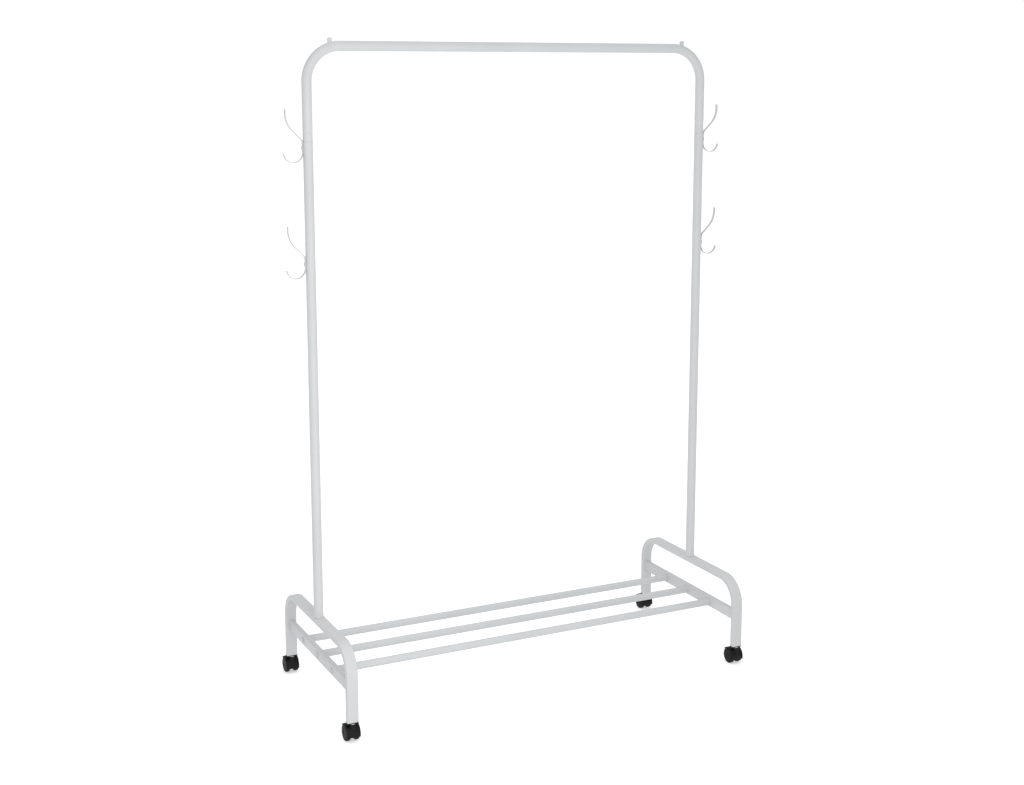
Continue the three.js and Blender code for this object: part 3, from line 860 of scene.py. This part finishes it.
def cover_solid(width):
    """A strip bent over the wheels."""
    middle = (cover_inner + cover_outer) / 2
    back = math.radians(COVER_BACK)
    rise = middle * math.sin(back)
    start = Vector((0, trail + middle * math.cos(back), wheel_radius + rise))
    line = Line(start, COVER_BACK + 90, Y_AXIS, Z_AXIS)
    line.bend(middle, COVER_FRONT - COVER_BACK)
    ends = rounding(COVER_END)
    first, last = ends[-1][0], line.length - ends[-1][0]
    places = [*ends, *[(line.length - advance, inset) for advance, inset in ends]]
    places += [(s, 0.0) for s in line.marks() if first < s < last]
    section = box_section(COVER_THICKNESS, width, COVER_EDGE)
    bm = bmesh.new()
    skin(bm, [line.ring(section(inset), s) for s, inset in sorted(places)])
    return solid("cover", mesh_of("cover", bm))


def web_solid():
    """The disc between the two wheels, which widens to the cover along the cover's arc."""
    reach = cover_inner + COVER_THICKNESS / 2

    def edge(shrink):
        def radius(t):
            inside = min(math.degrees(t) - COVER_BACK, COVER_FRONT - math.degrees(t))
            rise = min(max(inside / WEB_RAMP + 0.5, 0), 1)
            smooth = rise * rise * (3 - 2 * rise)
            return WEB_RADIUS + (reach - WEB_RADIUS) * smooth - shrink

        return radius

    half = WEB_WIDTH / 2
    inner = [(0, -half), (edge(WEB_EDGE), -half), (edge(0), WEB_EDGE - half)]
    outer = [(edge(0), half - WEB_EDGE), (edge(WEB_EDGE), half), (0, half)]
    return turned_solid("web", inner + outer, axle_place, WHEEL_SEGMENTS)


def boss_solid(width):
    """The boss around the stem, cut off within the cover so that the wheels stay free."""
    shoulder = (BOSS_RADIUS - BOSS_EDGE, boss_top - BOSS_EDGE)
    profile = [(0, wheel_radius), (BOSS_RADIUS, wheel_radius)]
    profile += [*arc(shoulder, BOSS_EDGE, 0, 90), (0, boss_top)]
    inside_cover = cover_inner + COVER_THICKNESS * BOSS_INTO_COVER
    wheel_space = rod("wheel_space", inside_cover, -width, width, axle_place, WHEEL_SEGMENTS)
    boss = turned_solid("boss", profile)
    return solid("cap", combined(boss, [("DIFFERENCE", wheel_space)]))


def caster_body_mesh():
    """Cover, web and boss in one, with the holes for the stem and the axle."""
    width = size(f"caster_body_{SAMPLE}").x
    cover = cover_solid(width)
    web = web_solid()
    boss = boss_solid(width)
    stem_low = low(f"caster_stem_{SAMPLE}").z - GAP
    stem_bore = rod("stem_bore", STEM_RADIUS + TURNING, stem_low, boss_top + CUT_PAST)
    axle_bore = rod("axle_bore", WEB_BORE, -WEB_WIDTH, WEB_WIDTH, axle_place)
    joined = [("UNION", web), ("UNION", boss)]
    return combined(cover, [*joined, ("DIFFERENCE", stem_bore), ("DIFFERENCE", axle_bore)])


def wheel_profile(width):
    """(radius, distance from the inner face) around one wheel's section."""
    gate_step = 2 * math.pi / GATES

    def gate(depth):
        """The disc's face, with a dimple of that depth at each gate."""

        def height(t):
            off = abs((t + gate_step / 2) % gate_step - gate_step / 2)
            dip = math.cos(min(off * GATE_SHARPNESS, math.pi / 2))
            return width - DISC_DEPTH - depth * max(0, dip)

        return height

    def outside(*points):
        """Points whose depths are counted from the outer face."""
        return [(radius, width - depth) for radius, depth in points]

    tyre = wheel_radius - TYRE_ROUNDING
    edge = width - TYRE_SET_BACK
    groove = edge - GROOVE_FLOOR_DEPTH
    hub = [(WHEEL_BORE, 0), (HUB_INNER, 0), (HUB_INNER + HUB_BEVEL, HUB_BEVEL)]
    recess = [(RECESS_INNER, RECESS_DEPTH), (RECESS_OUTER, RECESS_DEPTH), *RIM_STEPS]
    tread = arc((tyre, TYRE_ROUNDING), TYRE_ROUNDING, -90, 0)
    tread += arc((tyre, edge - TYRE_ROUNDING), TYRE_ROUNDING, 0, 90)
    seam_ring = [(GROOVE_OUTER, edge), *[(radius, groove) for radius in GROOVE_RADII]]
    disc = [(DISC_EDGE[0], edge + DISC_EDGE[1]), *outside(DISC_RISE)]
    disc += [(radius * MM, gate(depth * MM)) for radius, depth in GATE_RINGS]
    sink = outside(HUB_RISE, (HUB_OUTER, 0), SINK_TOP, SINK_FLOOR, (WHEEL_BORE, SINK_FLOOR[1]))
    return hub + recess + tread + seam_ring + disc + sink


def wheel(which, corner):
    """which is outer or inner, counted from the rack's middle."""
    node = f"wheel_{which}_{corner}"
    outward = X_AXIS if centre(node).x > centre(f"caster_stem_{corner}").x else -X_AXIS
    inner_face = low(node).x if outward.x > 0 else high(node).x
    place = facing(Vector((inner_face, centre(node).y, centre(node).z)), outward)
    bm = bmesh.new()
    turned(bm, wheel_profile(size(node).x), place, WHEEL_SEGMENTS, closed=True)
    piece(node, bm, "wheel_plastic")


def caster_axle(corner):
    """A pin with a domed head at each end."""
    node = f"caster_axle_{corner}"
    half, head = size(node).x / 2, size(node).z / 2
    end = [(0, -half), *[(head * share, depth - half) for share, depth in AXLE_HEAD_DOME]]
    end += [(head, AXLE_HEAD - half), (AXLE_RADIUS, AXLE_HEAD - half)]
    profile = end + [(radius, -height) for radius, height in reversed(end)]
    bm = bmesh.new()
    turned(bm, profile, facing(centre(node), X_AXIS))
    piece(node, bm, "black_plastic")


def caster_stem(corner):
    """A pin with a collar above the boss and a groove near its top."""
    node = f"caster_stem_{corner}"
    bottom, top = low(node).z, high(node).z
    collar, shaft = size(node).x / 2, STEM_RADIUS
    collar_low = boss_top + GAP
    collar_high = collar_low + COLLAR_HEIGHT
    groove_low = top - GROOVE_BELOW_TOP
    groove_high = groove_low + GROOVE_WIDTH
    floor_radius = shaft - GROOVE_DEPTH
    profile = [(0, bottom), (shaft - STEM_BEVEL, bottom), (shaft, bottom + STEM_BEVEL)]
    profile += [(shaft, collar_low), (collar - STEM_BEVEL, collar_low)]
    profile += [(collar, collar_low + STEM_BEVEL), (collar, collar_high - STEM_BEVEL)]
    profile += [(collar - STEM_BEVEL, collar_high), (shaft, collar_high)]
    profile += [(shaft, groove_low), (floor_radius, groove_low + GROOVE_SLOPE)]
    profile += [(floor_radius, groove_high - GROOVE_SLOPE), (shaft, groove_high)]
    profile += [(shaft, top - STEM_BEVEL), (shaft - STEM_BEVEL, top), (0, top)]
    bm = bmesh.new()
    turned(bm, profile, Matrix.Translation((centre(node).x, centre(node).y, 0)))
    piece(node, bm, "zinc")


def leg_plug(corner):
    """A flange under the leg and a core inside it, with the stem's hole through both."""
    node = f"leg_plug_{corner}"
    flange_low, top = low(node).z, high(node).z
    flange_high = low("end_frame_left").z - GAP
    wide, thick = size(node).x, size(node).y
    flange = box_section(wide, thick, FRAME_CORNER + PLUG_LIP)
    shrink = 2 * (PLUG_LIP + FRAME_WALL + 2 * GAP)
    core = box_section(wide - shrink, thick - shrink, PLUG_CORE_CORNER)
    hole = [Vector(p).normalized() * (STEM_RADIUS + GAP) for p in flange(0)]
    middle = centre(node)

    def level(outline, z):
        return [Vector((middle.x + u, middle.y + v, z)) for u, v in outline]

    rings = [level(flange(inset), flange_low + rise) for rise, inset in rounding(PLUG_EDGE)]
    rings += [level(flange(PLUG_TOP_EDGE), flange_high), level(core(0), flange_high)]
    rings += [level(core(0), top - PLUG_TIP), level(core(PLUG_TIP_TAPER), top)]
    rings += [level(hole, top), level(hole, flange_low)]
    bm = bmesh.new()
    skin(bm, rings, closed=True)
    piece(node, bm, "black_plastic")


# ---- putting the rack together ----
ROWS = ("front", "middle", "back")
hanging_bar()
for side, sign in SIDES.items():
    inward = -X_AXIS * sign
    top_peg(side)
    upright(side)
    end_frame(side)
    crossbar(side)
    fastener(f"base_bolt_{side}", Z_AXIS, **BASE_BOLT)
    for row in ROWS:
        fastener(f"rail_bolt_{side}_{row}", inward, **RAIL_BOLT)
    for level in ("upper", "lower"):
        hook(side, level)
        fastener(f"hook_screw_{side}_{level}", inward, **HOOK_SCREW)
for row in ROWS:
    shelf_rail(row)

caster_body = caster_body_mesh()
for corner in CORNERS:
    leg_plug(corner)
    caster_stem(corner)
    stem = centre(f"caster_stem_{corner}")
    body = caster_body.copy()
    body.transform(Matrix.Translation((stem.x, stem.y, 0)))
    piece(f"caster_body_{corner}", body, "black_plastic")
    caster_axle(corner)
    wheel("outer", corner)
    wheel("inner", corner)

# The inserts are out of sight, so they keep their own meshes.
for name, made in frame["nodes"].items():
    if "insert" in name:
        made.material_slots[0].material = MATERIALS["inner_plastic"]


# ---- floor, light, camera ----
def floor():
    """White, with a faint glow of its own that keeps it from turning grey."""
    bm = bmesh.new()
    bmesh.ops.create_grid(bm, x_segments=FLOOR_CELLS, y_segments=FLOOR_CELLS, size=FLOOR_HALF)
    ground = bpy.data.objects.new("floor", mesh_of("floor", bm))
    bpy.context.scene.collection.objects.link(ground)
    nodes = Nodes("floor")
    tone = nodes.spread(nodes.noise(scale=0.6, detail=2), 0.3, 0.7, 0, 1)
    colour = nodes.blend(tone, (0.9,) * 3, (0.92,) * 3)
    nodes.link(colour, nodes.shader.inputs["Base Color"])
    nodes.shader.inputs["Roughness"].default_value = 0.8
    nodes.shader.inputs["Specular IOR Level"].default_value = 0.1
    nodes.shader.inputs["Emission Color"].default_value = (1, 1, 1, 1)
    nodes.shader.inputs["Emission Strength"].default_value = FLOOR_GLOW
    ground.data.materials.append(nodes.material)
    # It shows in the picture and in reflections, but casts no light on the rack.
    ground.visible_diffuse = False


def hang(light, place, toward):
    lamp = bpy.data.objects.new(light.name, light)
    bpy.context.scene.collection.objects.link(lamp)
    lamp.location = place
    lamp.rotation_euler = toward.to_track_quat("-Z", "Y").to_euler()
    lamp.visible_camera = False


def studio():
    """White surroundings, weaker as light than they look and a little stronger from below,
    with a soft light from overhead and a broad key light from the front left."""
    world = bpy.data.worlds.new("studio")
    world.use_nodes = True
    tree = world.node_tree
    seen = tree.nodes["Background"]
    seen.inputs["Color"].default_value = (1, 1, 1, 1)
    seen.inputs["Strength"].default_value = SEEN_WHITE
    cast = tree.nodes.new("ShaderNodeBackground")
    cast.inputs["Color"].default_value = (0.97, 0.985, 1, 1)
    toward = tree.nodes.new("ShaderNodeTexCoord")
    axes = tree.nodes.new("ShaderNodeSeparateXYZ")
    tree.links.new(toward.outputs["Generated"], axes.inputs["Vector"])
    strength = spread(tree, axes.outputs["Z"], (-1, 1, CAST_FROM_BELOW, CAST_FROM_ABOVE))
    tree.links.new(strength, cast.inputs["Strength"])
    path = tree.nodes.new("ShaderNodeLightPath")
    mix = tree.nodes.new("ShaderNodeMixShader")
    tree.links.new(path.outputs["Is Camera Ray"], mix.inputs["Fac"])
    tree.links.new(cast.outputs["Background"], mix.inputs[1])
    tree.links.new(seen.outputs["Background"], mix.inputs[2])
    tree.links.new(mix.outputs["Shader"], tree.nodes["World Output"].inputs["Surface"])
    bpy.context.scene.world = world
    overhead = bpy.data.lights.new("overhead", "SUN")
    overhead.energy = OVERHEAD_ENERGY
    overhead.angle = math.radians(OVERHEAD_SPREAD)
    hang(overhead, OVERHEAD_PLACE, -Z_AXIS)
    key = bpy.data.lights.new("key", "AREA")
    key.energy = KEY_ENERGY
    key.shape = "RECTANGLE"
    key.size, key.size_y = KEY_SIZE
    hang(key, KEY_PLACE, Vector(KEY_TOWARD))


def camera():
    lens = bpy.data.cameras.new("camera")
    lens.lens = CAMERA_LENS
    lens.shift_y = CAMERA_SHIFT
    eye = bpy.data.objects.new("camera", lens)
    bpy.context.scene.collection.objects.link(eye)
    azimuth, elevation = math.radians(CAMERA_AZIMUTH), math.radians(CAMERA_ELEVATION)
    look = Vector(
        (
            math.sin(azimuth) * math.cos(elevation),
            math.cos(azimuth) * math.cos(elevation),
            -math.sin(elevation),
        )
    )
    aim = Vector((CAMERA_AIM[0], middle_y, CAMERA_AIM[1]))
    eye.location = aim - look * CAMERA_DISTANCE
    eye.rotation_euler = look.to_track_quat("-Z", "Y").to_euler()
    bpy.context.scene.camera = eye


floor()
studio()
camera()
bpy.context.scene.view_settings.view_transform = "Standard"

bpy.context.view_layer.update()
